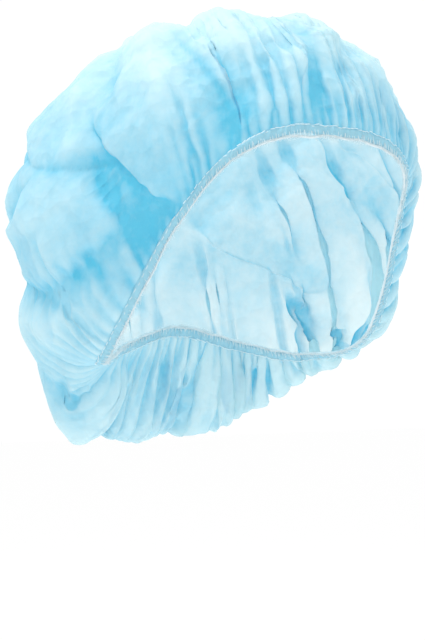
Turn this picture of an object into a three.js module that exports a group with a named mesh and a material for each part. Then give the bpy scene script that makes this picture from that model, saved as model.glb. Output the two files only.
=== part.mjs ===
// Disposable bouffant cap, worn: a disc of light nonwoven gathered on an elastic hem.
// Millimetres, +Z up. The wearer faces -Y and the wearer's left is +X.
// The origin is the middle of the head opening, so that a head comes up through it along +Z.
//
// Every wall is worked out from two short tables: the shape table gives the cap's profile at
// twelve directions round the head, and the fold table lays its main folds over that shape.

import * as THREE from 'three';

// ---- Driving dimensions ---------------------------------------------------------------------

const OPENING_CENTRE = { y: -10, z: -38 }; // middle of the head opening, from the head's centre
const APEX = { y: 60, z: 71 }; // middle of the cloth disc, pushed back over the crown of the head
const APEX_TILT = 18; // degrees that the cloth leans back there
const CLOTH_WALL = 1.0; // crown wall
const GAP = 0.5; // between pieces that are sewn together
const HEM_WIDTH = 4.6; // rolled casing, measured up the cloth
const HEM_THICKNESS = 2.2; // rolled casing, through the cloth
const ELASTIC_WIDTH = 1.3; // sewn edge that shows below the casing
const ELASTIC_THICKNESS = 1.4;
const PLEATS = 22; // main gathers above the hem
const PLEAT_DEPTH = 2.0;
const PLEAT_RISE = 4; // distance above the hem over which a gather opens
const PLEAT_FADE = 26; // distance above the hem over which it smooths out

// ---- Fineness -------------------------------------------------------------------------------

const STEPS_ROUND = 88; // points round the head
const STEPS_UP = 23; // rings from the hem to the apex
const PROFILE_SAMPLES = 48; // samples that space the rings evenly along a profile
const BAND_CORNERS = 6; // corners of the hem's and the elastic's section

// ---- Shape table ----------------------------------------------------------------------------
// angle      degrees round the head: 0 front, 90 wearer's left, 180 back, 270 wearer's right
// rimRadius  distance of the hem from the head's upright axis
// rimHeight  height of the hem, from the head's centre
// out, up    where the cloth heads from the hem: outward and upward
// in         how far from the apex the cloth starts to turn down

const SHAPE = [
  { angle: 0, rimRadius: 85, rimHeight: 13, out: 0, up: 56, in: 90 },
  { angle: 30, rimRadius: 84, rimHeight: 4, out: 3, up: 48, in: 92 },
  { angle: 60, rimRadius: 77, rimHeight: -22, out: 28, up: 45, in: 103 },
  { angle: 90, rimRadius: 75, rimHeight: -80, out: 51, up: 17, in: 117 },
  { angle: 120, rimRadius: 68, rimHeight: -90, out: 57, up: -50, in: 127 },
  { angle: 150, rimRadius: 65, rimHeight: -84, out: 56, up: -140, in: 130 },
  { angle: 180, rimRadius: 64, rimHeight: -76, out: 54, up: -182, in: 130 },
  { angle: 210, rimRadius: 66, rimHeight: -84, out: 56, up: -150, in: 131 },
  { angle: 240, rimRadius: 66, rimHeight: -90, out: 54, up: -38, in: 133 },
  { angle: 270, rimRadius: 76, rimHeight: -87, out: 56, up: 15, in: 118 },
  { angle: 300, rimRadius: 71, rimHeight: -29, out: 29, up: 46, in: 102 },
  { angle: 330, rimRadius: 80, rimHeight: 8, out: 5, up: 52, in: 92 },
];

// ---- Fold table -----------------------------------------------------------------------------
// from, to   ends of the fold: degrees round the head, and share of the way from hem to apex
// width      half width of the fold
// height     how far it stands out (+) or dips in (-)
// edge       1 for a sharp crease, 2 for a soft swelling

const FOLDS = [
  // wearer's right, from the front to the back
  { from: [325, 0.74], to: [318, 0.02], width: 7, height: -6, edge: 1.8 }, // long valley to the temple
  { from: [317, 0.42], to: [320, 0.08], width: 3, height: 2.6, edge: 1.2 }, // sharp ridge beside it
  { from: [326, 0.4], to: [329, 0.02], width: 7, height: -4, edge: 1.8 }, // valley over the temple
  { from: [338, 0.72], to: [333, 0.3], width: 11, height: 2.2, edge: 2 }, // high top swelling
  { from: [10, 0.8], to: [352, 0.06], width: 6.5, height: -5, edge: 1.4 }, // crease to the forehead
  { from: [12, 0.56], to: [2, 0.2], width: 9, height: 2.2, edge: 1.8 }, // full panel beside it
  { from: [312, 0.66], to: [306, 0.2], width: 12, height: 4, edge: 2 }, // big panel above the ear
  { from: [294, 0.7], to: [293, 0.36], width: 7, height: -3.6, edge: 1.6 }, // crease behind the panel
  { from: [293, 0.4], to: [306, 0.03], width: 5, height: -4.2, edge: 1.4 }, // slanting valley
  { from: [297, 0.36], to: [309, 0.08], width: 3, height: 2.4, edge: 1.2 }, // its sharp lip
  { from: [284, 0.6], to: [281, 0.36], width: 8, height: 2.6, edge: 1.8 }, // upright ridge behind
  { from: [240, 0.62], to: [292, 0.28], width: 5, height: -5, edge: 1.5 }, // level crease half way down
  { from: [251, 0.62], to: [272, 0.44], width: 12, height: 3.6, edge: 2 }, // corner above the crease
  { from: [244, 0.4], to: [284, 0.28], width: 11, height: 3.6, edge: 2 }, // swelling below the crease
  { from: [287, 0.3], to: [295, 0.04], width: 6, height: -4, edge: 1.6 }, // valley behind the ear
  { from: [206, 0.44], to: [292, 0.09], width: 8, height: -7, edge: 1.8 }, // waist above the bag
  { from: [222, 0.34], to: [262, 0.12], width: 11, height: 3.8, edge: 2 }, // lobe below the waist
  { from: [223, 0.27], to: [222, 0.02], width: 7, height: -5, edge: 1.8 }, // notch beside the bag
  { from: [206, 0.26], to: [212, 0.06], width: 11, height: 5, edge: 2 }, // corner lobe of the bag
  { from: [196, 0.24], to: [204, 0.03], width: 5, height: -3, edge: 1.5 }, // fold beside the neck
  // back and wearer's left
  { from: [190, 0.3], to: [176, 0.06], width: 10, height: 3.5, edge: 2 },
  { from: [172, 0.4], to: [168, 0.06], width: 5, height: -4, edge: 1.5 },
  { from: [158, 0.28], to: [150, 0.06], width: 11, height: 4, edge: 2 },
  { from: [150, 0.6], to: [112, 0.28], width: 6, height: -4.4, edge: 1.5 },
  { from: [165, 0.62], to: [120, 0.44], width: 12, height: 3.6, edge: 2 },
  { from: [200, 0.62], to: [168, 0.46], width: 8, height: -3.4, edge: 1.6 },
  { from: [222, 0.66], to: [204, 0.4], width: 12, height: 3.2, edge: 2 },
  { from: [124, 0.3], to: [100, 0.06], width: 6, height: -4.6, edge: 1.5 },
  { from: [96, 0.5], to: [80, 0.05], width: 6, height: -4, edge: 1.5 },
  { from: [76, 0.6], to: [66, 0.2], width: 10, height: 3.2, edge: 2 },
  { from: [58, 0.5], to: [52, 0.06], width: 4.5, height: -4, edge: 1.4 },
  { from: [60, 0.16], to: [70, 0.08], width: 8, height: 3, edge: 2 },
  { from: [34, 0.46], to: [30, 0.05], width: 5, height: -3, edge: 1.4 },
  { from: [20, 0.62], to: [40, 0.34], width: 11, height: 3, edge: 2 },
  // over the top
  { from: [60, 0.76], to: [110, 0.7], width: 6, height: -3, edge: 1.5 },
  { from: [350, 0.86], to: [250, 0.8], width: 6, height: -3, edge: 1.5 },
];

const FOLD_MAP_RADIUS = 110; // folds are laid out on a ball of this radius
const FOLD_MAP_RIM = 140; // the hem's place on that ball, in degrees from its top
const FOLD_END = 0.25; // share of a fold's length over which each end fades

// ---- Shape of the cloth ---------------------------------------------------------------------

const radians = THREE.MathUtils.degToRad;
const UP = new THREE.Vector3(0, 0, 1);

/** A column of the shape table at any angle (radians), by a smooth curve through its rows. */
function shapeValue(column, angle) {
  const place = THREE.MathUtils.euclideanModulo(angle / (2 * Math.PI), 1) * SHAPE.length;
  const row = Math.floor(place);
  const t = place - row;
  const value = (step) => SHAPE[(row + step + SHAPE.length) % SHAPE.length][column];
  const [a, b, c, d] = [value(-1), value(0), value(1), value(2)];
  const bend = 2 * a - 5 * b + 4 * c - d;
  const twist = 3 * b - a - 3 * c + d;
  return 0.5 * (2 * b + (c - a) * t + bend * t * t + twist * t * t * t);
}

/** The cap's profile at an angle: one cubic curve from the hem's lower edge to the apex. */
function profile(angle) {
  const outward = new THREE.Vector3(Math.sin(angle), -Math.cos(angle), 0);
  const tilt = radians(APEX_TILT);
  const acrossApex = new THREE.Vector3(
    Math.sin(angle),
    -Math.cos(angle) * Math.cos(tilt),
    Math.cos(angle) * Math.sin(tilt),
  );
  const apex = new THREE.Vector3(0, APEX.y - OPENING_CENTRE.y, APEX.z - OPENING_CENTRE.z);
  const rim = new THREE.Vector3(0, -OPENING_CENTRE.y, -OPENING_CENTRE.z)
    .addScaledVector(outward, shapeValue('rimRadius', angle))
    .addScaledVector(UP, shapeValue('rimHeight', angle));
  const rising = rim.clone()
    .addScaledVector(outward, shapeValue('out', angle))
    .addScaledVector(UP, shapeValue('up', angle));
  const turning = apex.clone().addScaledVector(acrossApex, shapeValue('in', angle));
  const curve = new THREE.CubicBezierCurve3(rim, rising, turning, apex);
  curve.arcLengthDivisions = PROFILE_SAMPLES;
  return curve;
}

const STEP_ANGLE = (2 * Math.PI) / STEPS_ROUND;
const PROFILES = Array.from({ length: STEPS_ROUND }, (_, i) => profile(i * STEP_ANGLE));

/** A place on the ball on which folds are laid out. */
function onFoldMap(angle, share) {
  const fromTop = (1 - share) * radians(FOLD_MAP_RIM);
  const level = Math.sin(fromTop);
  return new THREE.Vector3(level * Math.sin(angle), -level * Math.cos(angle), Math.cos(fromTop));
}

/** Each fold as a stretch of a great circle on that ball. */
const FOLD_LINES = FOLDS.map(({ from, to, width, height, edge }) => {
  const start = onFoldMap(radians(from[0]), from[1]);
  const end = onFoldMap(radians(to[0]), to[1]);
  const pole = start.clone().cross(end).normalize();
  const ahead = pole.clone().cross(start);
  return { start, pole, ahead, length: start.angleTo(end), width, height, edge };
});

/** How far all folds together lift the cloth: a bell across each line that fades at its ends. */
function foldHeight(angle, share) {
  const place = onFoldMap(angle, share);
  let lift = 0;
  for (const line of FOLD_LINES) {
    const across = Math.asin(THREE.MathUtils.clamp(place.dot(line.pole), -1, 1)) * FOLD_MAP_RADIUS;
    const along = Math.atan2(place.dot(line.ahead), place.dot(line.start)) / line.length;
    const fade = THREE.MathUtils.smoothstep(along, -FOLD_END / 2, FOLD_END / 2)
      * THREE.MathUtils.smoothstep(1 - along, -FOLD_END / 2, FOLD_END / 2);
    lift += line.height * fade * Math.exp(-((Math.abs(across) / line.width) ** line.edge));
  }
  return lift;
}

/** The gathers above the hem: uneven waves that open just above it and smooth out upward. */
function pleatHeight(angle, aboveHem) {
  const phase = PLEATS * angle + 0.9 * Math.sin(3 * angle) + 0.7 * Math.sin(5 * angle + 1);
  const opened = 1 - Math.exp(-aboveHem / PLEAT_RISE);
  return PLEAT_DEPTH * Math.cos(phase) * opened * Math.exp(-aboveHem / PLEAT_FADE);
}

/** Outward direction of a ring's point, from its neighbours round and along the cloth. */
function outwardAt(rings, ring, step) {
  const round = rings[ring][(step + 1) % STEPS_ROUND].clone()
    .sub(rings[ring][(step + STEPS_ROUND - 1) % STEPS_ROUND]);
  const above = rings[Math.min(ring + 1, rings.length - 1)][step];
  const below = rings[Math.max(ring - 1, 0)][step];
  return round.cross(above.clone().sub(below)).normalize();
}

/** Moves every point of the rings along its outward direction by lift(ring, step). */
function lifted(rings, lift) {
  return rings.map((ring, r) => ring.map((point, step) => (
    point.clone().addScaledVector(outwardAt(rings, r, step), lift(r, step)))));
}

// ---- Solids ---------------------------------------------------------------------------------

/**
 * A closed solid skinned over rings of points, between two end points or round a loop.
 * Up to ring `turn` each patch is split along its other diagonal, so that an inner wall
 * that comes back along an outer one stays parallel to it.
 */
function solidThroughRings(rings, ends, turn = 0) {
  const points = rings.flat();
  const faces = [];
  const last = ends ? rings.length - 1 : rings.length;
  for (let r = 0; r < last; r += 1) {
    const here = r * STEPS_ROUND;
    const next = ((r + 1) % rings.length) * STEPS_ROUND;
    for (let i = 0; i < STEPS_ROUND; i += 1) {
      const j = (i + 1) % STEPS_ROUND;
      if (r < turn) faces.push(here + i, here + j, next + i, here + j, next + j, next + i);
      else faces.push(here + i, here + j, next + j, here + i, next + j, next + i);
    }
  }
  if (ends) {
    const first = points.push(ends[0]) - 1;
    const final = points.push(ends[1]) - 1;
    const lastRing = last * STEPS_ROUND;
    for (let i = 0; i < STEPS_ROUND; i += 1) {
      const j = (i + 1) % STEPS_ROUND;
      faces.push(first, j, i, final, lastRing + i, lastRing + j);
    }
  }
  const geometry = new THREE.BufferGeometry().setFromPoints(points);
  geometry.setIndex(faces);
  geometry.computeVertexNormals();
  return geometry;
}

/** The crown: the gathered and folded disc of cloth, a hollow shell open at the head opening. */
function crownGeometry() {
  const hemTop = HEM_WIDTH + GAP;
  const shares = Array.from({ length: STEPS_UP }, (_, r) => r / STEPS_UP);
  const smooth = shares.map((share) => PROFILES.map((curve) => {
    const length = curve.getLength();
    return curve.getPointAt((hemTop + share * (length - hemTop)) / length);
  }));
  const outer = lifted(smooth, (r, step) => {
    const aboveHem = shares[r] * PROFILES[step].getLength();
    const settled = 1 - Math.exp(-aboveHem / PLEAT_RISE);
    return CLOTH_WALL / 2 + settled * foldHeight(step * STEP_ANGLE, shares[r])
      + pleatHeight(step * STEP_ANGLE, aboveHem);
  });
  const inner = lifted(outer, () => -CLOTH_WALL);
  const apex = PROFILES[0].getPoint(1);
  const lean = UP.clone().applyAxisAngle(new THREE.Vector3(1, 0, 0), -radians(APEX_TILT));
  const ends = [-CLOTH_WALL / 2, CLOTH_WALL / 2].map((lift) => apex.clone().addScaledVector(lean, lift));
  return solidThroughRings([...inner.reverse(), ...outer], ends, STEPS_UP);
}

/** A band round the head opening: an oval section, its middle so far up the cloth from the rim. */
function bandGeometry(middle, width, thickness) {
  const onCloth = (distance) => PROFILES.map((curve) => {
    const length = curve.getLength();
    const edge = curve.getPoint(0);
    const along = curve.getTangent(0);
    return distance < 0 ? edge.addScaledVector(along, distance) : curve.getPointAt(distance / length);
  });
  const strip = [onCloth(middle - width / 2), onCloth(middle), onCloth(middle + width / 2)];
  const rings = Array.from({ length: BAND_CORNERS }, (_, corner) => {
    const turn = (2 * Math.PI * (corner + 0.5)) / BAND_CORNERS;
    return strip[1].map((centre, step) => {
      const along = strip[2][step].clone().sub(strip[0][step]).normalize();
      return centre.clone()
        .addScaledVector(along, (width / 2) * Math.sin(turn))
        .addScaledVector(outwardAt(strip, 1, step), (thickness / 2) * Math.cos(turn));
    });
  });
  return solidThroughRings(rings);
}

function piece(name, geometry, colour, roughness) {
  const mesh = new THREE.Mesh(
    geometry,
    new THREE.MeshStandardMaterial({ color: colour, roughness, metalness: 0 }),
  );
  mesh.name = name;
  return mesh;
}

const NONWOVEN_BLUE = 0xa6dcec;
const HEM_BLUE = 0x8cc8dc;
const ELASTIC_WHITE = 0xe4eef2;

const cap = new THREE.Group();
cap.name = 'disposable_hairnet';
cap.add(piece('crown', crownGeometry(), NONWOVEN_BLUE, 0.85));
cap.add(piece('hem', bandGeometry(HEM_WIDTH / 2, HEM_WIDTH, HEM_THICKNESS), HEM_BLUE, 0.85));
cap.add(piece(
  'elastic',
  bandGeometry(-GAP - ELASTIC_WIDTH / 2, ELASTIC_WIDTH, ELASTIC_THICKNESS),
  ELASTIC_WHITE,
  0.8,
));

export default cap;
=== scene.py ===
import bpy
import numpy as np
from mathutils import Matrix, Vector


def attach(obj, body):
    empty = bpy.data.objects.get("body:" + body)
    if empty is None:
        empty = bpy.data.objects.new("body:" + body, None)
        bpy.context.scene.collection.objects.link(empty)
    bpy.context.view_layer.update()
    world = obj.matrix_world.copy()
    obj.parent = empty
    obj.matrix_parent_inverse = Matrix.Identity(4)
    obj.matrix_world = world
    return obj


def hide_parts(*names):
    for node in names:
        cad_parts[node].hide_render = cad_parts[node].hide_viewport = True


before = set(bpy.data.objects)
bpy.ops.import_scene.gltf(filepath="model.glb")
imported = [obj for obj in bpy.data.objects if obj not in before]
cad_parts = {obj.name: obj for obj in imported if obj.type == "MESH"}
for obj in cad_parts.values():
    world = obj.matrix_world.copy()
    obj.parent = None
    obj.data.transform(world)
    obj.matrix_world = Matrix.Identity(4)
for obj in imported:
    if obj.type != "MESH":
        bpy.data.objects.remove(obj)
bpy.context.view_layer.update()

# A disposable bouffant cap: a disc of spunbond polypropylene gathered on an elastic hem, in the
# shape that it takes on a head. The wearer faces -Y, and the head comes up through the hem.

# ---- Crown ------------------------------------------------------------------------------------
# One disc of thin nonwoven, cut 508 mm across and gathered into the hem. It springs out from the
# hem in fine pleats that run together into broad folds, and bags out behind the head.

MM = 0.001
CUT_RADIUS = 254 * MM  # the disc before it was gathered
HEM_WIDTH = 4.6 * MM
OPENING_CENTRE = np.array([0.0, -10.0, -38.0]) * MM  # from the head's centre
APEX = np.array([0.0, 60.0, 71.0]) * MM - OPENING_CENTRE
APEX_TILT = np.radians(18)

# One row for each direction round the head, from the front by the wearer's left.
SHAPE_COLUMNS = ("rim_radius", "rim_height", "out", "up", "turn")
SHAPE = np.array([
    [85, 13, 0, 56, 90],
    [84, 4, 3, 48, 92],
    [77, -22, 28, 45, 103],
    [75, -80, 51, 17, 117],
    [68, -90, 57, -50, 127],
    [65, -84, 56, -140, 130],
    [64, -76, 54, -182, 130],
    [66, -84, 56, -150, 131],
    [66, -90, 54, -38, 133],
    [76, -87, 56, 15, 118],
    [71, -29, 29, 46, 102],
    [80, 8, 5, 52, 92],
]) * MM

# The main folds, each from one place to another: angle_1, share_1, angle_2, share_2, in degrees
# round the head and shares of the way up from the hem. Then width, half the fold's width, and
# height, how far it stands out, in mm, and edge, 1 for a sharp crease and 2 for a swelling.
FOLDS = np.array([
    # wearer's right, front to back
    [325, 0.74, 321, 0.52, 6.0, -5.5, 1.8],
    [313, 0.58, 323, 0.03, 4.5, -4.0, 1.3],
    [326, 0.40, 329, 0.02, 7.0, -3.0, 1.8],
    [338, 0.72, 333, 0.30, 11.0, 1.2, 2.0],
    [10, 0.80, 352, 0.06, 6.5, -4.0, 1.4],
    [12, 0.56, 2, 0.20, 9.0, 1.4, 1.8],
    [312, 0.66, 306, 0.20, 12.0, 4.4, 2.0],
    [294, 0.70, 293, 0.36, 7.0, -3.6, 1.6],
    [288, 0.42, 301, 0.05, 6.0, -4.2, 1.6],
    [284, 0.60, 281, 0.36, 8.0, 2.6, 1.8],
    [240, 0.62, 292, 0.28, 5.0, -5.0, 1.5],
    [251, 0.62, 272, 0.44, 12.0, 3.6, 2.0],
    [244, 0.40, 284, 0.28, 11.0, 3.6, 2.0],
    [287, 0.30, 295, 0.04, 6.0, -4.0, 1.6],
    [206, 0.49, 292, 0.11, 8.0, -5.5, 2.0],
    [228, 0.30, 262, 0.12, 11.0, 3.0, 2.0],
    [223, 0.27, 222, 0.02, 7.0, -3.0, 1.8],
    [206, 0.26, 212, 0.06, 11.0, 5.0, 2.0],
    [196, 0.24, 204, 0.03, 5.0, -3.0, 1.5],
    # back and wearer's left
    [190, 0.30, 176, 0.06, 10.0, 3.5, 2.0],
    [172, 0.40, 168, 0.06, 5.0, -4.0, 1.5],
    [158, 0.28, 150, 0.06, 11.0, 4.0, 2.0],
    [150, 0.60, 112, 0.28, 6.0, -4.4, 1.5],
    [165, 0.62, 120, 0.44, 12.0, 3.6, 2.0],
    [200, 0.62, 168, 0.46, 8.0, -3.4, 1.6],
    [222, 0.66, 204, 0.40, 12.0, 3.2, 2.0],
    [124, 0.30, 100, 0.06, 6.0, -4.6, 1.5],
    [96, 0.50, 80, 0.05, 6.0, -4.0, 1.5],
    [76, 0.60, 66, 0.20, 10.0, 3.2, 2.0],
    [58, 0.50, 52, 0.06, 4.5, -4.0, 1.4],
    [60, 0.16, 70, 0.08, 8.0, 1.0, 2.0],
    [34, 0.46, 30, 0.05, 5.0, -3.0, 1.4],
    [20, 0.62, 40, 0.34, 11.0, 3.0, 2.0],
    # swellings and hollows along the cap's sides
    [56, 0.18, 76, 0.10, 7.0, -6.0, 2.0],
    [45, 0.38, 42, 0.14, 8.0, -2.5, 2.0],
    [315, 0.60, 300, 0.68, 9.0, 1.2, 2.0],
    [297, 0.74, 286, 0.76, 9.0, 2.6, 2.0],
    [246, 0.53, 260, 0.53, 5.0, -3.4, 1.6],
    [268, 0.42, 212, 0.38, 7.0, -7.0, 1.8],
    [222, 0.31, 246, 0.31, 7.0, -2.0, 2.0],
    [222, 0.27, 206, 0.25, 5.0, -3.5, 1.8],
    [216, 0.22, 202, 0.21, 6.0, 5.5, 2.0],
    [289, 0.73, 267, 0.71, 9.0, -5.5, 2.0],
    [22, 0.40, 4, 0.40, 8.0, -5.5, 2.0],
    [319, 0.61, 307, 0.64, 8.0, -2.2, 2.0],
    [252, 0.46, 240, 0.42, 7.0, 4.0, 2.0],
    # over the top
    [60, 0.76, 110, 0.70, 6.0, -3.0, 1.5],
    [350, 0.86, 250, 0.80, 6.0, -3.0, 1.5],
])

# Laps: long folds whose crest lies over on the cloth beside it. The last column is how far it is
# carried over in mm, to the right as seen if more than 0.
LAPS = np.array([
    [315, 0.58, 325, 0.04, 6.0, 2.0, 2.0, 5.0],
    [326, 0.36, 330, 0.03, 4.0, 1.4, 2.0, -5.0],
    [4, 0.66, 350, 0.07, 4.5, 1.6, 2.0, -6.0],
    [291, 0.43, 304, 0.07, 5.0, 1.8, 2.0, -6.0],
    [146, 0.58, 114, 0.30, 5.0, 1.6, 2.0, 6.0],
    [92, 0.52, 78, 0.06, 5.0, 1.6, 2.0, -6.0],
])

BALL_RADIUS = 110 * MM  # folds are laid out on a ball of this radius
BALL_RIM = np.radians(140)  # the hem's place on that ball, from its top
FOLD_END = 0.25  # share of a fold's length over which each end fades


def shape_column(name, angle):
    """A column of the shape table at any angle, by a smooth closed curve through its rows."""
    column = SHAPE[:, SHAPE_COLUMNS.index(name)]
    place = angle / (2 * np.pi) % 1 * len(column)
    row = np.floor(place).astype(int)
    t = place - row
    a, b, c, d = (column[(row + step) % len(column)] for step in (-1, 0, 1, 2))
    bend = 2 * a - 5 * b + 4 * c - d
    twist = 3 * b - a - 3 * c + d
    return 0.5 * (2 * b + (c - a) * t + bend * t**2 + twist * t**3)


def profile(angle, t):
    """Points on the cap's profile at each angle: a cubic curve from hem edge, t 0, to apex, t 1."""
    outward = np.stack([np.sin(angle), -np.cos(angle), 0 * angle], -1)
    flat = -np.cos(angle) * np.cos(APEX_TILT)
    across = np.stack([np.sin(angle), flat, np.cos(angle) * np.sin(APEX_TILT)], -1)
    value = {name: shape_column(name, angle)[..., None] for name in SHAPE_COLUMNS}
    up = np.array([0.0, 0.0, 1.0])
    rim = outward * value["rim_radius"] + up * value["rim_height"] - OPENING_CENTRE
    rising = rim + outward * value["out"] + up * value["up"]
    turning = APEX + across * value["turn"]
    t = t[..., None]
    return (1 - t)**3 * rim + 3 * (1 - t)**2 * t * rising + 3 * (1 - t) * t**2 * turning + t**3 * APEX


def unit(vectors):
    """Vectors scaled to length one."""
    return vectors / np.maximum(np.linalg.norm(vectors, axis=-1, keepdims=True), 1e-12)


def outward_normals(grid):
    """Unit normals of a grid of points that runs round the head, then up from the hem."""
    around = np.roll(grid, -1, 0) - np.roll(grid, 1, 0)
    return unit(np.cross(around, np.gradient(grid, axis=1)))


def smooth_cap(steps_round=720, steps_up=240, rough_steps=96):
    """The cap with no folds, evenly spaced up each profile, with its profiles' lengths."""
    angle = np.arange(steps_round) / steps_round * 2 * np.pi
    t = np.linspace(0, 1, rough_steps + 1)
    rough = profile(*np.broadcast_arrays(angle[:, None], t))
    steps = np.linalg.norm(np.diff(rough, axis=1), axis=-1)
    length = np.concatenate([np.zeros((steps_round, 1)), np.cumsum(steps, 1)], 1)
    share = np.linspace(0, 1, steps_up + 1)
    even = np.stack([np.interp(share * row[-1], row, t) for row in length])
    grid = profile(*np.broadcast_arrays(angle[:, None], even))
    normals = outward_normals(grid)
    normals[:, -1] = (0, np.sin(APEX_TILT), np.cos(APEX_TILT))
    return grid, normals, length[:, -1]


def sample(grid, angle, share):
    """Values of such a grid between its points, by straight lines both ways."""
    u = angle / (2 * np.pi) % 1 * grid.shape[0]
    v = np.clip(share, 0, 1) * (grid.shape[1] - 1)
    i = np.floor(u).astype(int) % grid.shape[0]
    j = np.minimum(np.floor(v).astype(int), grid.shape[1] - 2)
    u, v = (u % 1)[..., None], (v - j)[..., None]
    near = grid[i, j] * (1 - v) + grid[i, j + 1] * v
    far = grid[(i + 1) % grid.shape[0], j] * (1 - v) + grid[(i + 1) % grid.shape[0], j + 1] * v
    return near * (1 - u) + far * u


def on_ball(angle, share):
    """Places on the ball on which folds are laid out, as unit vectors."""
    drop = (1 - share) * BALL_RIM
    level = np.sin(drop)
    return np.stack([level * np.sin(angle), -level * np.cos(angle), np.cos(drop)], -1)


def off_ball(place):
    """Angle and share of places on that ball."""
    angle = np.arctan2(place[..., 0], -place[..., 1])
    return angle, 1 - np.arccos(np.clip(place[..., 2], -1, 1)) / BALL_RIM


def fade_in(x, start, end):
    """A smooth step from 0 at start to 1 at end."""
    x = np.clip((x - start) / (end - start), 0, 1)
    return x * x * (3 - 2 * x)


def past_hem(above, reach):
    """0 at the hem, rising to 1 over this reach above it."""
    return 1 - np.exp(-above / reach)


def line_frame(place, angle_1, share_1, angle_2, share_2):
    """Where places lie from a great circle's arc between two others on the ball: how far across
    it, more than 0 towards its pole, which is to the right as seen where it runs down the cap,
    and what share of the way along it. Returns the pole too."""
    start = on_ball(np.radians(angle_1), np.float64(share_1))
    end = on_ball(np.radians(angle_2), np.float64(share_2))
    pole = unit(np.cross(start, end))
    length = np.arccos(np.clip(start @ end, -1, 1))
    across = np.arcsin(np.clip(place @ pole, -1, 1)) * BALL_RADIUS
    along = np.arctan2(place @ np.cross(pole, start), place @ start) / length
    return across, along, pole


def fold(place, lines):
    """How far the fold lines lift each place, in metres, and carry it over the ball: each is a
    bell across its line that fades at both ends."""
    lift = np.zeros(place.shape[:-1])
    carry = np.zeros(place.shape)
    half = FOLD_END / 2
    for *line, width, height, edge, lean in lines:
        across, along, pole = line_frame(place, *line)
        bell = np.exp(-np.abs(across / (width * MM)) ** edge)
        bell *= fade_in(along, -half, half) * fade_in(1 - along, -half, half)
        lift += height * MM * bell
        carry += (lean * MM / BALL_RADIUS * bell)[..., None] * pole
    return lift, carry


def upright(lines):
    """Rows of the fold table for folds that don't lean."""
    return np.column_stack([lines, np.zeros(len(lines))])


def drift(points, wavelength, seed, waves=20):
    """Smooth noise of about one unit at points: plane waves that run every way, added. Its
    wavelength is in the points' own units, and each wave's is up to 1.4 times shorter or longer."""
    rng = np.random.default_rng(seed)
    turn = unit(rng.normal(size=(waves, points.shape[-1])))
    reach = 2 * np.pi / wavelength * rng.uniform(0.7, 1.4, waves)
    start = rng.uniform(0, 2 * np.pi, waves)
    total = np.zeros(points.shape[:-1])
    for direction, number, phase in zip(turn, reach, start):
        total += np.cos(points @ direction * number + phase)
    return total * np.sqrt(2 / waves)


# Most of the fullness has gathered on one side, in degrees round the head, and the cloth bags
# out smoothly at another. Focus is how narrowly each acts.
FULL_SIDE, CALM_SIDE = np.radians(105), np.radians(228)
LEAST_FULL, MOST_FULL, FULL_FOCUS = 0.22, 1.85, 1.5
CALM, CALM_FOCUS = 0.2, 8
# Orders of gathers, fine to broad: how many round the hem, how deep, and how far above the hem
# they open and fade, in mm, how much deeper on the full side, and a seed for their irregularity.
GATHERS = ((112, 1.3, 1, 24, 0.3, 21), (62, 1.8, 6, 40, 0.8, 22), (26, 2.4, 25, 90, 1, 23))
HEAD_RADIUS = 75 * MM
NEAR_APEX = (0.7, 0.92)  # shares of the way up between which the gathers stop leaning
FOLDS_FROM = 5 * MM  # the folds rise over this distance above the hem
UNEVEN, UNEVEN_SIZE = 0.8 * MM, 0.45  # broad swellings: their height, and size on a ball of one unit
SET_BACK, SET_BACK_FROM = 1.2 * MM, 25 * MM  # the mean surface lies this far below the smooth cap
CREST_SHIFT, PINCH = 0.2, 0.13  # crests stand up more than valleys sink, and draw cloth to them
FACET_SLOPE, FACET_LENGTHS = 0.12, (26, 60)  # lengths in mm
PATCH_SIZE = 0.7  # of the places with facets, on a ball of one unit
# Where the cloth lies doubled beside a lap, with a painted shadow under the lap's edge: from one place
# to another as for the folds, how broad in mm (to the right as seen if more than 0), and how much
# bluer and darker it looks.
DOUBLED_AND_SHADOWED = np.array([
    [314, 0.50, 324, 0.03, 4.0, 0.3],
    [326, 0.37, 328, 0.08, 4.0, 0.28],
    [4, 0.52, 355, 0.10, -6.0, 0.25],
    [290, 0.42, 303, 0.04, -9.0, 0.5],
    [287, 0.35, 291, 0.15, -5.0, 0.4],
    [289, 0.21, 294, 0.03, -5.0, 0.4],
    [273, 0.22, 278, 0.14, -4.0, 0.3],
    [279, 0.20, 284, 0.07, -4.0, 0.3],
])


def full_side(angle):
    """How full the cloth is against the mean: a round peak on the full side of the head over a
    level value, less a narrower one where the cloth bags out smoothly."""
    peak = MOST_FULL * np.exp(FULL_FOCUS * (np.cos(angle - FULL_SIDE) - 1))
    calm = CALM * np.exp(CALM_FOCUS * (np.cos(angle - CALM_SIDE) - 1))
    return LEAST_FULL + peak - calm


def facets(place, seed, waves=9):
    """The flat facets of crumpled crisp cloth: triangle waves that run every way, in patches."""
    rng = np.random.default_rng(seed)
    lift = np.zeros(place.shape[:-1])
    for number in range(waves):
        heading, length = unit(rng.normal(size=3)), rng.uniform(*FACET_LENGTHS) * MM
        turns = place @ heading * BALL_RADIUS / length + rng.uniform()
        patch = np.clip(0.5 + 0.7 * drift(place, PATCH_SIZE, seed + number, 6), 0, 1)
        lift += FACET_SLOPE * length * patch * (np.abs(turns % 1 - 0.5) - 0.25)
    return lift


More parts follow.
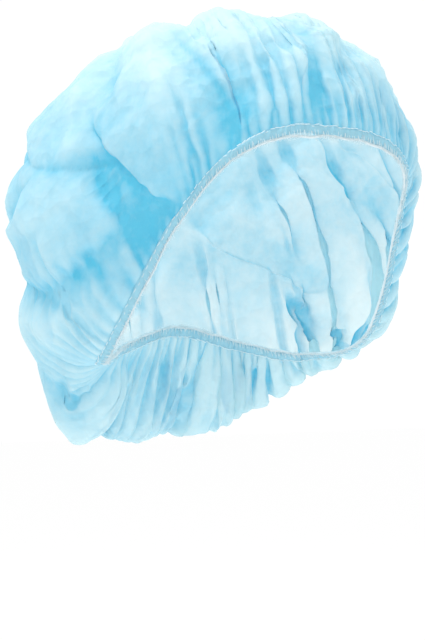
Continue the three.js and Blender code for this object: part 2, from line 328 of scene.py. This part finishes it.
def doubled_and_shadowed(place, lines):
    """How thickly the cloth lies under its laps, with a painted shadow there: most at each line, less
    away from it on one side, over a breadth that grows along the line from its narrow end."""
    narrow, growing, edge = 0.3, 0.9, (-1.4 * MM, 1.2 * MM)
    layers_and_shading = np.zeros(place.shape[:-1])
    for *line, breadth, bluer_and_shadowed in lines:
        across, along, _ = line_frame(place, *line)
        across = across * np.sign(breadth)
        along = np.clip(along, -1, 2)
        reach = abs(breadth) * MM * np.clip(narrow + growing * along, 0.1, narrow + growing)
        bell = fade_in(across, *edge) * np.exp(-(across / reach) ** 2)
        bell *= fade_in(along, -0.05, 0.1) * fade_in(1 - along, -0.1, 0.1)
        # Painted shadow under each lap, over the deeper blue of the doubled cloth.
        layers_and_shading = np.maximum(layers_and_shading, bluer_and_shadowed * bell)
    return layers_and_shading


def gathers(angle, above, count, depth, opens, fades, sided, seed):
    """One order of gathers: round crests and pinched valleys that open above the hem and fade.
    Smooth noise round the head makes their spacing, depth and reach uneven.

    Returns lift, and the distance that each point is carried round towards its crest."""
    uneven, least_size, least_reach, most = 0.4, 0.15, 0.35, 2
    ring = np.stack([np.cos(angle), np.sin(angle)], -1)
    phase = count * angle + 1.6 * drift(ring, 0.9, seed) + 0.8 * drift(ring, 0.35, seed + 1)
    side = 1 + sided * (full_side(angle) - 1)
    size = np.clip(side + uneven * drift(ring, 0.3, seed + 2), least_size, most)
    reach = fades * np.clip(side + uneven * drift(ring, 0.25, seed + 3), least_reach, most)
    shown = size * past_hem(above, opens) * np.exp(-(above / reach) ** 2)
    spacing = 2 * np.pi * HEAD_RADIUS / count
    return depth * shown * (np.cos(phase) + CREST_SHIFT), PINCH * spacing * shown * np.sin(phase)


def random_creases(count, seed):
    """Small sharp creases as rows of the fold table, most of them running up the cloth."""
    mm_up, mm_per_degree = 270, 1.6  # about how much cloth lies from hem to apex, and round it
    rng = np.random.default_rng(seed)
    angle, share = rng.uniform(0, 360, count), rng.uniform(0.04, 0.95, count)
    heading = np.radians(rng.normal(90, 38, count))
    length = rng.uniform(12, 48, count)
    rise = length * np.sin(heading) / mm_up
    level = np.maximum(np.sin((1 - share) * BALL_RIM), 0.3)
    swing = length * np.cos(heading) / mm_per_degree / level
    height = rng.choice([-1, 1], count) * rng.uniform(0.25, 0.9, count)
    columns = [angle, share, angle + swing, np.clip(share + rise, 0.02, 0.97)]
    columns += [rng.uniform(1.2, 3.4, count), height, rng.uniform(0.9, 1.2, count)]
    return np.stack(columns, -1)


STEPS_ROUND, STEPS_UP = 640, 150  # the cloth's grid
CROWN_START = HEM_WIDTH - 0.4 * MM  # the crown comes out of the hem this far above its lower edge
CAP, CAP_NORMALS, CAP_LENGTHS = smooth_cap()


def profile_length(angle):
    """The length of the cap's profile at any angle."""
    around = np.append(CAP_LENGTHS, CAP_LENGTHS[0])
    return np.interp(angle % (2 * np.pi), np.linspace(0, 2 * np.pi, len(around)), around)


def cloth_places():
    """Angle, share of the way up, and distance above the hem for each grid point."""
    angle = (np.arange(STEPS_ROUND) / STEPS_ROUND * 2 * np.pi)[:, None]
    start = CROWN_START / profile_length(angle)
    share = start + (1 - start) * np.arange(STEPS_UP) / STEPS_UP
    return np.broadcast_to(angle, share.shape), share, (share / start - 1) * CROWN_START


def folded_grid(angle, share, above):
    """The cap with its folds and gathers as they are first laid out."""
    place = on_ball(angle, share)
    settled = past_hem(above, FOLDS_FROM)
    lift, carry = fold(place, upright(FOLDS))
    lift = (lift + UNEVEN * drift(place, UNEVEN_SIZE, seed=11)) * settled
    lift = lift - SET_BACK * past_hem(above, SET_BACK_FROM)
    carry = carry * settled[..., None]
    round_way = np.stack([np.cos(angle), np.sin(angle), 0 * angle], -1)
    for count, depth, opens, fades, sided, seed in GATHERS:
        rise, slide = gathers(angle, above, count, depth * MM, opens * MM, fades * MM, sided, seed)
        lift = lift + rise
        slide = slide * (1 - fade_in(share, *NEAR_APEX))
        carry = carry + (slide / BALL_RADIUS)[..., None] * round_way
    angle, moved = off_ball(unit(place + carry))
    share = np.maximum(moved, share[:, :1])
    return sample(CAP, angle, share) + sample(CAP_NORMALS, angle, share) * lift[..., None]


def averaged(field, width, axis, closed):
    """A field averaged along one axis over a bell about this many steps wide: two running means."""
    reach = max(1, round(1.2 * width))
    pad = [(0, 0)] * field.ndim
    for _ in range(2):
        pad[axis] = (reach + 1, reach)
        sums = np.cumsum(np.pad(field, pad, mode="wrap" if closed else "edge"), axis, dtype=float)
        ahead = np.take(sums, range(2 * reach + 1, sums.shape[axis]), axis)
        field = (ahead - np.take(sums, range(sums.shape[axis] - 2 * reach - 1), axis)) / (2 * reach + 1)
    return field


def blurred(field, width_round, width_up, axis=0):
    """A field on the grid averaged over its neighbourhood."""
    return averaged(averaged(field, width_round, axis, True), width_up, axis + 1, False)


def length_of(steps):
    """Lengths of vectors whose components come first."""
    return np.sqrt((steps * steps).sum(0))


def curl(field):
    """How far each value lies from its four neighbours' mean."""
    out = np.roll(field, 1, 1) + np.roll(field, -1, 1) - 2 * field
    out[:, :, 1:-1] += field[:, :, 2:] + field[:, :, :-2] - 2 * field[:, :, 1:-1]
    return out


SPRING, DIAGONAL = 0.13, 0.7  # stiffness of the threads, and of the cloth on its bias against it
STIFFNESS = 0.0015  # against bending
HOLD_MEAN, HOLD_EACH = 0.05, 0.002  # the hold on the mean shape, and on each point
MEAN_BREADTH = (12, 8)  # grid steps round and up over which the mean shape is taken
HOLD_HEM, HEM_GRIP = 0.1, 3 * MM  # the hem's hold, and how far above it that reaches
DAMPING = 0.9  # the share of its speed that each point keeps from step to step
# The share of the cut's fullness that buckles the cloth: rises past the hem, falls away above.
# It is well under one, so the finished cloth has 0.72 of the flat disc's area: 0.55 of its share
# in the half at the front and the wearer's right, and 0.89 in the other, which is a guess.
FULLNESS, FULL_RISE, FULL_FALL, MOST_CUT = 0.4, 7 * MM, 45 * MM, 2.4
FINEST_WAVE = 3.5 * MM  # waves round the cloth that are shorter than this are smoothed away
SPRUNG_OUT = 0.75  # share of the steps over which the threads grow


def relax(grid, plain, cut, steps=150):
    """Lets the cloth buckle: its threads grow to the lengths that they have in the flat cut, while
    the cloth's stiffness and a soft hold on its mean shape resist. Damped springs, stepped."""
    start, plain, cut = (np.moveaxis(g, -1, 0).astype(np.float32) for g in (grid, plain, cut))
    across, up = np.roll(plain, -1, 1) - plain, plain[:, :, 1:] - plain[:, :, :-1]
    weft, warp = length_of(across), length_of(up)
    skew = (across[:, :, :-1] * up).sum(0) / (weft[:, :-1] * warp)
    above = np.cumsum(warp, 1)
    above = np.concatenate([0 * above[:, :1], above], 1)
    fullness = length_of(np.roll(cut, -1, 1) - cut) / weft
    share_kept = FULLNESS + (1 - FULLNESS) * np.exp(-above / FULL_FALL) - np.exp(-above / FULL_RISE)
    side = full_side(np.arange(STEPS_ROUND)[:, None] / STEPS_ROUND * 2 * np.pi)
    fullness = 1 + side * share_kept * (np.clip(fullness, 1, MOST_CUT) - 1)
    begin, goal = length_of(np.roll(start, -1, 1) - start), weft * fullness
    waves = np.arange(STEPS_ROUND // 2 + 1)[:, None]
    fine = np.exp(-(waves * FINEST_WAVE / weft.sum(0)) ** 4)
    firm = HOLD_EACH + HOLD_HEM * np.exp(-above / HEM_GRIP)
    now, speed = start.copy(), np.zeros_like(start)
    bias = DIAGONAL * SPRING

    def pull(first, second, rest, strength):
        """The spring force on the first point, in proportion to how far the gap is past rest."""
        gap = second - first
        return gap * (strength * (1 - rest / np.maximum(length_of(gap), 1e-9)))

    for step in range(steps):
        weft = begin + (goal - begin) * min(1, (step + 1) / (SPRUNG_OUT * steps))
        near, slant = weft[:, :-1], 2 * weft[:, :-1] * warp * skew
        beside = np.roll(now, -1, 1)
        force = pull(now, beside, weft, SPRING)
        force -= np.roll(force, 1, 1)
        tug = pull(now[:, :, :-1], now[:, :, 1:], warp, SPRING)
        force[:, :, :-1] += tug
        force[:, :, 1:] -= tug
        tug = pull(now[:, :, :-1], beside[:, :, 1:], np.sqrt(near**2 + warp**2 + slant), bias)
        force[:, :, :-1] += tug
        force[:, :, 1:] -= np.roll(tug, 1, 1)
        tug = pull(now[:, :, 1:], beside[:, :, :-1], np.sqrt(near**2 + warp**2 - slant), bias)
        force[:, :, 1:] += tug
        force[:, :, :-1] -= np.roll(tug, 1, 1)
        force -= STIFFNESS * curl(curl(now - plain))
        if step % 3 == 0:
            held = HOLD_MEAN * blurred(now - start, *MEAN_BREADTH, axis=1).astype(np.float32)
        force -= held + firm * (now - start)
        speed = DAMPING * speed + force
        speed[:, :, [0, -1]] = 0
        now = now + speed
        if step % 4 == 3:
            moved = np.fft.rfft(now - plain, axis=1) * fine
            now = plain + np.fft.irfft(moved, STEPS_ROUND, axis=1).astype(np.float32)
            now[:, :, 0] = start[:, :, 0]
    return np.moveaxis(now, 0, -1).astype(float)


APEX_FORWARD = 66 * MM  # the apex's place in the flat disc, forward of its middle
CRISP = [1, 1, 1, 1, 0.3, 0.28, 0.6]  # the sharp crease along each main fold, against its row
CREASES_FROM, FACETS_FROM = 8 * MM, 30 * MM  # they rise over these distances above the hem
SMOOTH_TOP = (0.9, 0.98)  # shares of the way up between which the creases fade
LAID_FLAT, PRESSED = 4 * MM, (6, 5)  # cloth carried over this far is averaged over so many steps
HEAD_GAP, HEAD_SLOPE = 1 * MM, 0.15  # how far in the cloth may lie at the hem, and more above it
SOFT, WELL_CLEAR = 0.4 * MM, 8  # the depth over which it comes to rest, and how many such are clear
RESTS_FROM = 2 * MM


def creased(grid, place, share, above):
    """The buckled cloth raised by sharp creases and facets, its laps carried over to lie flat.
    Returns the angle round the head at which each point then lies, too."""
    settled = past_hem(above, CREASES_FROM)
    lap_lift, carry = fold(place, LAPS)
    small = fold(place, upright(random_creases(count=300, seed=5)))[0]
    lift = small + fold(place, upright(FOLDS * CRISP))[0] + lap_lift
    lift += facets(place, seed=51) * past_hem(above, FACETS_FROM)
    lift = (lift * settled * (1 - fade_in(share, *SMOOTH_TOP)))[..., None]
    smooth = np.clip(length_of(np.moveaxis(carry, -1, 0)) * BALL_RADIUS / LAID_FLAT, 0, 1)
    smooth = (smooth * settled)[..., None]
    grid = grid * (1 - smooth) + blurred(grid, *PRESSED) * smooth
    angle, share = off_ball(unit(place + carry * settled[..., None]))
    start = CROWN_START / profile_length(angle)
    share = np.maximum(share - start, 0) / (1 - start)
    raised = sample(grid, angle, share) + sample(outward_normals(grid), angle, share) * lift
    return raised, angle


def rested(grid, above):
    """The cloth raised off the head where it lies deeper than the head allows: a soft maximum of
    its depth below the smooth cap and the head's."""
    angle, share, _ = cloth_places()
    out = sample(CAP_NORMALS, angle, share)
    depth = ((grid - sample(CAP, angle, share)) * out).sum(-1)
    head = HEAD_GAP + HEAD_SLOPE * above
    clear = (depth + head) / SOFT
    landed = SOFT * np.log1p(np.exp(np.minimum(clear, WELL_CLEAR))) - head
    rise = np.where(clear > WELL_CLEAR, 0, landed - depth)
    return grid + out * (rise * past_hem(above, RESTS_FROM))[..., None]


# How thickly the cloth lies folded on itself, with painted shade and painted light mixed in: a level
# value, and what else adds to it. These amounts were set for each region's tone. They aren't worked
# out from a count of layers.
# Painted shade: hollows, creases, the pleats by the hem and the main folds' valleys come out bluer and
# darker, over the real layers there.
LEVEL, IN_HOLLOWS, IN_CREASES, IN_PLEATS = 0.48, 0.08, 0.04, 0.10
# Painted light: OVER_TOP makes the top paler where the lamp above lights it, and AT_NAPE makes the nape
# paler with light from below.
IN_VALLEYS, BY_BROW, IN_BAG, OVER_TOP, AT_NAPE = 0.12, 0.31, 0.12, -0.44, -0.2
HOLLOW_DEPTH, CREASE_DEPTH, VALLEY_DEPTH = 2.5 * MM, 0.5 * MM, 4 * MM
HOLLOW_BREADTH, CREASE_BREADTH = (10, 7), (3, 2)  # grid steps round and up
PLEATS_REACH, BROW_REACH = 18 * MM, 55 * MM  # above the hem
RIGHT_BROW = np.radians(330)
TOP_HEIGHTS = (50 * MM, 120 * MM)
BAG_BEHIND, BAG_HEIGHTS = (30 * MM, 100 * MM), (-60 * MM, -10 * MM)
NAPE_HEIGHT, NAPE_REACH = -40 * MM, 28 * MM


def thickness_with_painted_shading(grid, angle, place, above):
    """How thickly the cloth lies folded on itself, 0 to 1, with painted shade and light: more in hollows,
    creases and the main folds' valleys, painted shade over real layers there; more beside laps, by the
    hem over the brow and behind; less over the top, a painted highlight, and at the nape, painted light
    from below."""
    normals = outward_normals(grid)
    crease = ((blurred(grid, *CREASE_BREADTH) - grid) * normals).sum(-1) / CREASE_DEPTH
    hollow = ((blurred(grid, *HOLLOW_BREADTH) - grid) * normals).sum(-1) / HOLLOW_DEPTH
    valley = np.clip(-fold(place, upright(FOLDS))[0] / VALLEY_DEPTH, -1, 1)
    brow = np.exp(-(above / BROW_REACH) ** 2) * (0.5 + 0.5 * np.cos(angle - RIGHT_BROW))
    _, behind, height = np.moveaxis(grid, -1, 0)
    bag = fade_in(behind, *BAG_BEHIND) * fade_in(height, *BAG_HEIGHTS)
    nape = np.exp(-((height - NAPE_HEIGHT) / NAPE_REACH) ** 2)
    # Painted shade in hollows, creases and valleys, a painted highlight over the top and painted light at
    # the nape, added to the cloth's layers.
    thickness_and_shading = LEVEL + IN_HOLLOWS * hollow + doubled_and_shadowed(place, DOUBLED_AND_SHADOWED) + IN_VALLEYS * valley
    thickness_and_shading += (IN_CREASES + IN_PLEATS * np.exp(-above / PLEATS_REACH)) * crease
    thickness_and_shading += BY_BROW * brow + IN_BAG * bag
    # A painted highlight over the top, and painted light from below at the nape.
    thickness_and_shading += OVER_TOP * fade_in(height, *TOP_HEIGHTS) + AT_NAPE * nape
    return np.clip(thickness_and_shading, 0, 1)


def crown_grid():
    """The finished crown, and how thickly the cloth lies at each point, with painted shade and light
    mixed in.
    """
    angle, share, above = cloth_places()
    reach = (1 - share) * CUT_RADIUS
    cut = np.stack([reach * np.sin(angle), -reach * np.cos(angle) - APEX_FORWARD * share], -1)
    grid = relax(folded_grid(angle, share, above), sample(CAP, angle, share), cut)
    place = on_ball(angle, share)
    grid, angle = creased(grid, place, share, above)
    grid = rested(grid, above)
    return grid, thickness_with_painted_shading(grid, angle, place, above)


def mesh_object(name, points, faces, smooth=True):
    """A mesh piece from an array of points and arrays of faces, each of one corner count."""
    mesh = bpy.data.meshes.new(name)
    faces = [face for group in faces for face in group.tolist()]
    mesh.from_pydata(points.reshape(-1, 3).tolist(), [], faces)
    mesh.polygons.foreach_set("use_smooth", np.full(len(faces), smooth))
    piece = bpy.data.objects.new(name, mesh)
    bpy.context.scene.collection.objects.link(piece)
    return piece


def crown_piece():
    """The crown as one sheet: the grid's cells, and a fan of triangles at the apex."""
    grid, thickness_and_shading = crown_grid()
    rows, columns = grid.shape[:2]
    points = np.concatenate([grid.reshape(-1, 3), grid[:, -1].mean(0)[None]])
    i, j = np.arange(rows)[:, None], np.arange(columns - 1)
    corner, beside = i * columns + j, (i + 1) % rows * columns + j
    faces = np.stack([corner, beside, beside + 1, corner + 1], -1).reshape(-1, 4)
    top = np.arange(rows) * columns + columns - 1
    fan = np.stack([top, np.roll(top, -1), np.full(rows, rows * columns)], -1)
    piece = mesh_object("crown_cloth", points, [faces, fan])
    store_thickness_and_shading(piece, np.append(thickness_and_shading.ravel(), 0))
    return piece


def store_thickness_and_shading(piece, values):
    """Keeps how thickly the cloth lies at each point, with painted shade and light mixed in, for the
    material to read.
    """
    layers_and_shading = piece.data.attributes.new("thickness_and_shading", "FLOAT", "POINT")
    layers_and_shading.data.foreach_set("value", np.ascontiguousarray(values, np.float32))


def linear(hex_colour):
    """A colour for a shader from its sRGB hex code."""
    srgb = np.array([int(hex_colour[i:i + 2], 16) for i in (0, 2, 4)]) / 255
    value = np.where(srgb <= 0.04045, srgb / 12.92, ((srgb + 0.055) / 1.055) ** 2.4)
    return (*value.tolist(), 1.0)


def add(material, kind, settings=None, **links):
    """Adds a node with its settings; a link names an input and gives the output that feeds it."""
    node = material.node_tree.nodes.new(kind)
    for name, value in (settings or {}).items():
        if name in node.inputs:
            node.inputs[name].default_value = value
        else:
            setattr(node, name, value)
    for name, output in links.items():
        slot = int(name[1:]) if name[1:].isdigit() else name.replace("_", " ")
        material.node_tree.links.new(output, node.inputs[slot])
    return node


def new_material(name):
    """A material with no nodes in it."""
    material = bpy.data.materials.new(name)
    material.use_nodes = True
    material.node_tree.nodes.clear()
    return material


def nonwoven(name, single, deep, see_through, glowing):
    """Spunbond polypropylene, rolled from hot fibres laid at random: light passes through it, its
    fibres lie thicker in some places than in others, and it looks bluer where it lies doubled and where
    the point attribute paints shade; it is paler where that attribute paints light.
    The fibres are drawn coarser than the real 0.02 mm, so that they show."""
    cloud_size, fibre_size, crumple_size, cloudiness = 6 * MM, 0.7 * MM, 11 * MM, 0.07
    material = new_material(name)
    place = add(material, "ShaderNodeTexCoord").outputs["Object"]
    # The point attribute that it reads holds the cloth's layers with painted shade and painted light
    # mixed in.
    thickness_and_shading = add(material, "ShaderNodeAttribute", {"attribute_name": "thickness_and_shading"}).outputs["Fac"]
    clouds = add(material, "ShaderNodeTexNoise", {"Scale": 1 / cloud_size, "Detail": 4, "Roughness": 0.6},
                 Vector=place)
    fibres = add(material, "ShaderNodeTexNoise", {"Scale": 1 / fibre_size, "Detail": 3}, Vector=place)
    uneven = add(material, "ShaderNodeMapRange",
                 {"From Min": 0.35, "From Max": 0.65, "To Min": -cloudiness, "To Max": cloudiness},
                 Value=clouds.outputs["Fac"])
    layers_and_shading = add(material, "ShaderNodeMath", {"operation": "ADD", "use_clamp": True}, _0=thickness_and_shading,
                 _1=uneven.outputs[0])
    gaps = add(material, "ShaderNodeMapRange", {"To Min": see_through, "To Max": 0.3 * see_through},
               Value=layers_and_shading.outputs[0])
    # Towards the deep colour is painted shade as well as doubled cloth; towards the single colour,
    # painted light over the top.
    blue = add(material, "ShaderNodeMixRGB", {"Color1": linear(single), "Color2": linear(deep)},
               Fac=layers_and_shading.outputs[0])
    creases = add(material, "ShaderNodeTexVoronoi", {"Scale": 1 / crumple_size, "Detail": 0.7,
                  "Roughness": 0.5, "Randomness": 1.0}, Vector=place)
    crumple = add(material, "ShaderNodeBump", {"Strength": 0.9, "Distance": 2.5 * MM},
                  Height=creases.outputs["Distance"])
    bump = add(material, "ShaderNodeBump", {"Strength": 0.12, "Distance": 0.2 * MM},
               Height=fibres.outputs["Fac"], Normal=crumple.outputs[0])
    front = add(material, "ShaderNodeBsdfPrincipled", {"Roughness": 0.55, "Specular IOR Level": 0.35},
                Base_Color=blue.outputs[0], Normal=bump.outputs[0])
    through = add(material, "ShaderNodeBsdfTranslucent", Color=blue.outputs[0], Normal=bump.outputs[0])
    cloth = add(material, "ShaderNodeMixShader", {"Fac": glowing}, _1=front.outputs[0],
                _2=through.outputs[0])
    clear = add(material, "ShaderNodeBsdfTransparent", {"Color": linear("E6F8FC")})
    mixed = add(material, "ShaderNodeMixShader", Fac=gaps.outputs[0], _1=cloth.outputs[0],
                _2=clear.outputs[0])
    add(material, "ShaderNodeOutputMaterial", Surface=mixed.outputs[0])
    return material


crown = crown_piece()
crown.data.materials.append(nonwoven("spunbond_polypropylene", "E6F5F7", "58C4E2",
                                     see_through=0.36, glowing=0.55))
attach(crown, "root")
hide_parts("crown")

# ---- Hem --------------------------------------------------------------------------------------
# The disc's edge, rolled over the elastic and stitched down: a narrow casing of several layers
# of the same nonwoven, puckered all along by the gathering.

HEM_THICKNESS = 2.2 * MM


def rim_frame(count, distance):
    """Points at a distance up the cloth from the hem's lower edge, with the directions up the
    cloth, outward and along the hem there."""
    angle = np.arange(count) / count * 2 * np.pi
    on_cap = np.maximum(distance, 0)
    near = sample(CAP, angle, on_cap / profile_length(angle))
    far = sample(CAP, angle, (on_cap + 2 * MM) / profile_length(angle))
    up = unit(far - near)
    along = unit(np.roll(near, -1, 0) - np.roll(near, 1, 0))
    outward = unit(np.cross(along, up))
    return near + up * np.minimum(distance, 0), up, outward, along


def band(name, count, corners, middle, width, thickness, pucker, seed):
    """A closed band round the head opening: an oval section swept along the hem, swaying a
    little, its surface drawn into short ridges that run across it. Middle is how far its middle
    lies up the cloth from the hem's lower edge."""
    centre, up, outward, _ = rim_frame(count, middle)
    angle = np.arange(count) / count * 2 * np.pi
    turn = (np.arange(corners) / corners * 2 * np.pi)[None, :, None]
    ring = np.stack([np.cos(angle), np.sin(angle)], -1)
    sway = 0.35 * MM * drift(ring, 0.22, seed)[:, None, None] * up[:, None]
    ridges = 1 + pucker * (drift(ring, 0.028, seed + 1) + 0.6 * drift(ring, 0.05, seed + 2))
    half_width, half_thickness = width / 2, (thickness / 2 * ridges)[:, None, None]
    section = up[:, None] * np.sin(turn) * half_width + outward[:, None] * np.cos(turn) * half_thickness
    points = centre[:, None] + sway + section
    i, j = np.arange(count)[:, None], np.arange(corners)
    corner = i * corners + j
    beside = (i + 1) % count * corners + j
    over = (j + 1) % corners - j
    faces = np.stack([corner, beside, beside + over, corner + over], -1).reshape(-1, 4)
    return mesh_object(name, points, [faces])


BAND_STEPS = 1400  # round the opening, fine enough for the puckers

hem = band("hem_casing", BAND_STEPS, 14, middle=HEM_WIDTH / 2, width=HEM_WIDTH,
           thickness=HEM_THICKNESS, pucker=0.22, seed=31)
store_thickness_and_shading(hem, np.full(len(hem.data.vertices), 0.5))
hem.data.materials.append(nonwoven("rolled_spunbond_polypropylene", "C8ECF4", "98D8EC",
                                   see_through=0.12, glowing=0.3))
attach(hem, "root")
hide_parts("hem")

# ---- Elastic ----------------------------------------------------------------------------------
# A white elastic, overlocked to the folded edge, so that it shows as a fuzzy white line below
# the hem and grips the head.

ELASTIC_WIDTH = 1.3 * MM


def thread_white(name, colour):
    """Textured polyester thread: white, matt, with fine filaments that break up its surface."""
    material = new_material(name)
    place = add(material, "ShaderNodeTexCoord").outputs["Object"]
    filaments = add(material, "ShaderNodeTexNoise", {"Scale": 1 / (0.3 * MM), "Detail": 2}, Vector=place)
    bump = add(material, "ShaderNodeBump", {"Strength": 0.5, "Distance": 0.1 * MM},
               Height=filaments.outputs["Fac"])
    surface = add(material, "ShaderNodeBsdfPrincipled",
                  {"Base Color": linear(colour), "Roughness": 0.8, "Sheen Weight": 0.3},
                  Normal=bump.outputs[0])
    add(material, "ShaderNodeOutputMaterial", Surface=surface.outputs[0])
    return material


elastic = band("elastic_edge", BAND_STEPS, 10, middle=-0.5 * MM, width=ELASTIC_WIDTH,
               thickness=ELASTIC_WIDTH, pucker=0.16, seed=41)
elastic.data.materials.append(thread_white("covered_elastic", "DCE8EC"))
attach(elastic, "root")
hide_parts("elastic")

# ---- Stitching --------------------------------------------------------------------------------
# Overlock thread: a row of needle stitches along the hem's upper side, and loops that run from
# it over the elastic's edge, with loose filaments between them.


def tubes(name, paths, radius, sides=6):
    """Many thin tubes as one mesh: a ring of points square to the path at each of its points.
    Paths is an array of tubes, points along each, and x y z."""
    sideways = np.array([0.31, 0.52, 0.79])  # a direction that the threads don't run in
    ahead = unit(np.gradient(paths, axis=1))
    side = unit(np.cross(ahead, sideways))
    over = np.cross(ahead, side)
    turn = (np.arange(sides) / sides * 2 * np.pi)[:, None]
    ring = side[:, :, None] * np.cos(turn) + over[:, :, None] * np.sin(turn)
    points = paths[:, :, None] + ring * radius
    count, steps = paths.shape[:2]
    number = np.arange(count * steps * sides).reshape(count, steps, sides)
    first, last = number[:, :-1], number[:, 1:]
    walls = np.stack([first, np.roll(first, -1, 2), np.roll(last, -1, 2), last], -1).reshape(-1, 4)
    caps = np.concatenate([number[:, 0, ::-1], number[:, -1]])
    return mesh_object(name, points, [walls, caps])


def hem_places(angle_index, up_cloth, outward_by, along_by, count):
    """Points near the hem, given as distances up the cloth, outward and along from its middle."""
    centre, up, outward, along = (field[angle_index] for field in rim_frame(count, HEM_WIDTH / 2))
    return (centre + up * (up_cloth - HEM_WIDTH / 2)[..., None] + outward * outward_by[..., None]
            + along * along_by[..., None])


def needle_stitches(count=230):
    """Short stitches end to end along the hem's upper side, each dipping in at its ends."""
    half_length, radius, dip = 1.05 * MM, 0.20 * MM, 0.3 * MM
    rng = np.random.default_rng(51)
    t = np.linspace(-1, 1, 7)
    index = np.broadcast_to(np.arange(count)[:, None], (count, len(t)))
    wander = 0.25 * MM * rng.normal(size=(count, 1))
    up_cloth = HEM_WIDTH - 0.3 * MM + wander + 0.15 * MM * t * rng.normal(size=(count, 1))
    outward = 1.0 * MM - dip * t**4
    return tubes("needle_thread", hem_places(index, up_cloth, outward, half_length * t, count), radius)


def overlock_loops(count=420):
    """Loops of thread that slant from the hem's outside over its lower edge to the inside: half a
    turn round the edge, pulled out up the cloth at both ends."""
    below, half_thickness, radius = 1.1 * MM, 1.15 * MM, 0.15 * MM
    rng = np.random.default_rng(52)
    t = np.linspace(0, 1, 9)
    index = np.broadcast_to(np.arange(count)[:, None], (count, len(t)))
    reach = rng.uniform(0.9, 2.4, (count, 1)) * MM
    turn = np.pi * t
    up_cloth = (reach + below) * (1 - np.sin(turn)) ** 1.5 - below
    outward = half_thickness * np.cos(turn)
    along = (t - 0.5) * rng.normal(1.4, 1.2, (count, 1)) * MM
    return tubes("overlock_thread", hem_places(index, up_cloth, outward, along, count), radius, 5)


def loose_filaments(count=2600):
    """Fine curly filaments that stand out of the elastic's edge: each a curve that leans along
    the hem as it runs down from it."""
    radius = 0.06 * MM
    rng = np.random.default_rng(53)
    t = np.linspace(0, 1, 5)
    index = np.broadcast_to(np.arange(count)[:, None], (count, len(t)))
    lean = rng.normal(0, 1.0, (count, 1)) * MM
    length = rng.uniform(0.4, 1.5, (count, 1)) * MM
    up_cloth = rng.normal(-0.5, 0.5, (count, 1)) * MM - length * t
    outward = rng.normal(0.2, 0.5, (count, 1)) * MM + rng.normal(0.2, 0.4, (count, 1)) * MM * t**2
    return tubes("loose_filaments", hem_places(index, up_cloth, outward, lean * t**2, count), radius, 3)


stitching = [needle_stitches(), overlock_loops(), loose_filaments()]
thread = thread_white("polyester_thread", "D8ECF2")
for piece in stitching:
    piece.data.materials.append(thread)
    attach(piece, "root")

# ---- Floor, light and camera ------------------------------------------------------------------
# A white floor well below, soft white light from all round with a broad lamp above, and the
# camera level with the cap, looking from the wearer's right front.

CAMERA_TURN = np.radians(-32)
back = Vector((np.sin(CAMERA_TURN), -np.cos(CAMERA_TURN), 0))
right = Vector((np.cos(CAMERA_TURN), np.sin(CAMERA_TURN), 0))

FLOOR_HEIGHT, FLOOR_REACH = -0.7, 9
corners = np.array([[-1, -1, 0], [1, -1, 0], [1, 1, 0], [-1, 1, 0]]) * FLOOR_REACH
floor = mesh_object("floor", corners + [0, 0, FLOOR_HEIGHT], [np.array([[0, 1, 2, 3]])], smooth=False)
pale = new_material("pale_floor")
floor_face = add(pale, "ShaderNodeBsdfDiffuse", {"Color": linear("FCFCFC")})
add(pale, "ShaderNodeOutputMaterial", Surface=floor_face.outputs[0])
floor.data.materials.append(pale)

scene = bpy.context.scene
scene.view_settings.view_transform = "Standard"
sky = bpy.data.worlds.new("studio")
sky.use_nodes = True
sky.node_tree.nodes["Background"].inputs["Color"].default_value = (1, 1, 1, 1)
sky.node_tree.nodes["Background"].inputs["Strength"].default_value = 1.02
scene.world = sky


def soft_lamp(name, place, size, power):
    """A square lamp that faces the middle of the cap."""
    lamp = bpy.data.lights.new(name, "AREA")
    lamp.size, lamp.energy = size, power
    holder = bpy.data.objects.new(name, lamp)
    scene.collection.objects.link(holder)
    holder.location = place
    holder.rotation_euler = (-Vector(place)).to_track_quat("-Z", "Y").to_euler()


soft_lamp("top_lamp", (-0.5, 0.3, 1.5), size=0.8, power=17)

CAMERA_DISTANCE = 1.0
FRAME_HEIGHT = 0.32  # height of the view at the cap
SENSOR = 36
AIM = Vector((-0.0133, 0.0183, -0.0339))
eye = bpy.data.cameras.new("camera")
eye.sensor_fit, eye.sensor_height = "VERTICAL", SENSOR
eye.lens = SENSOR * CAMERA_DISTANCE / FRAME_HEIGHT
eye.clip_end = 30
camera = bpy.data.objects.new("camera", eye)
scene.collection.objects.link(camera)
axes = Matrix((right, Vector((0, 0, 1)), back)).transposed().to_4x4()
camera.matrix_world = Matrix.Translation(AIM + back * CAMERA_DISTANCE) @ axes
scene.camera = camera
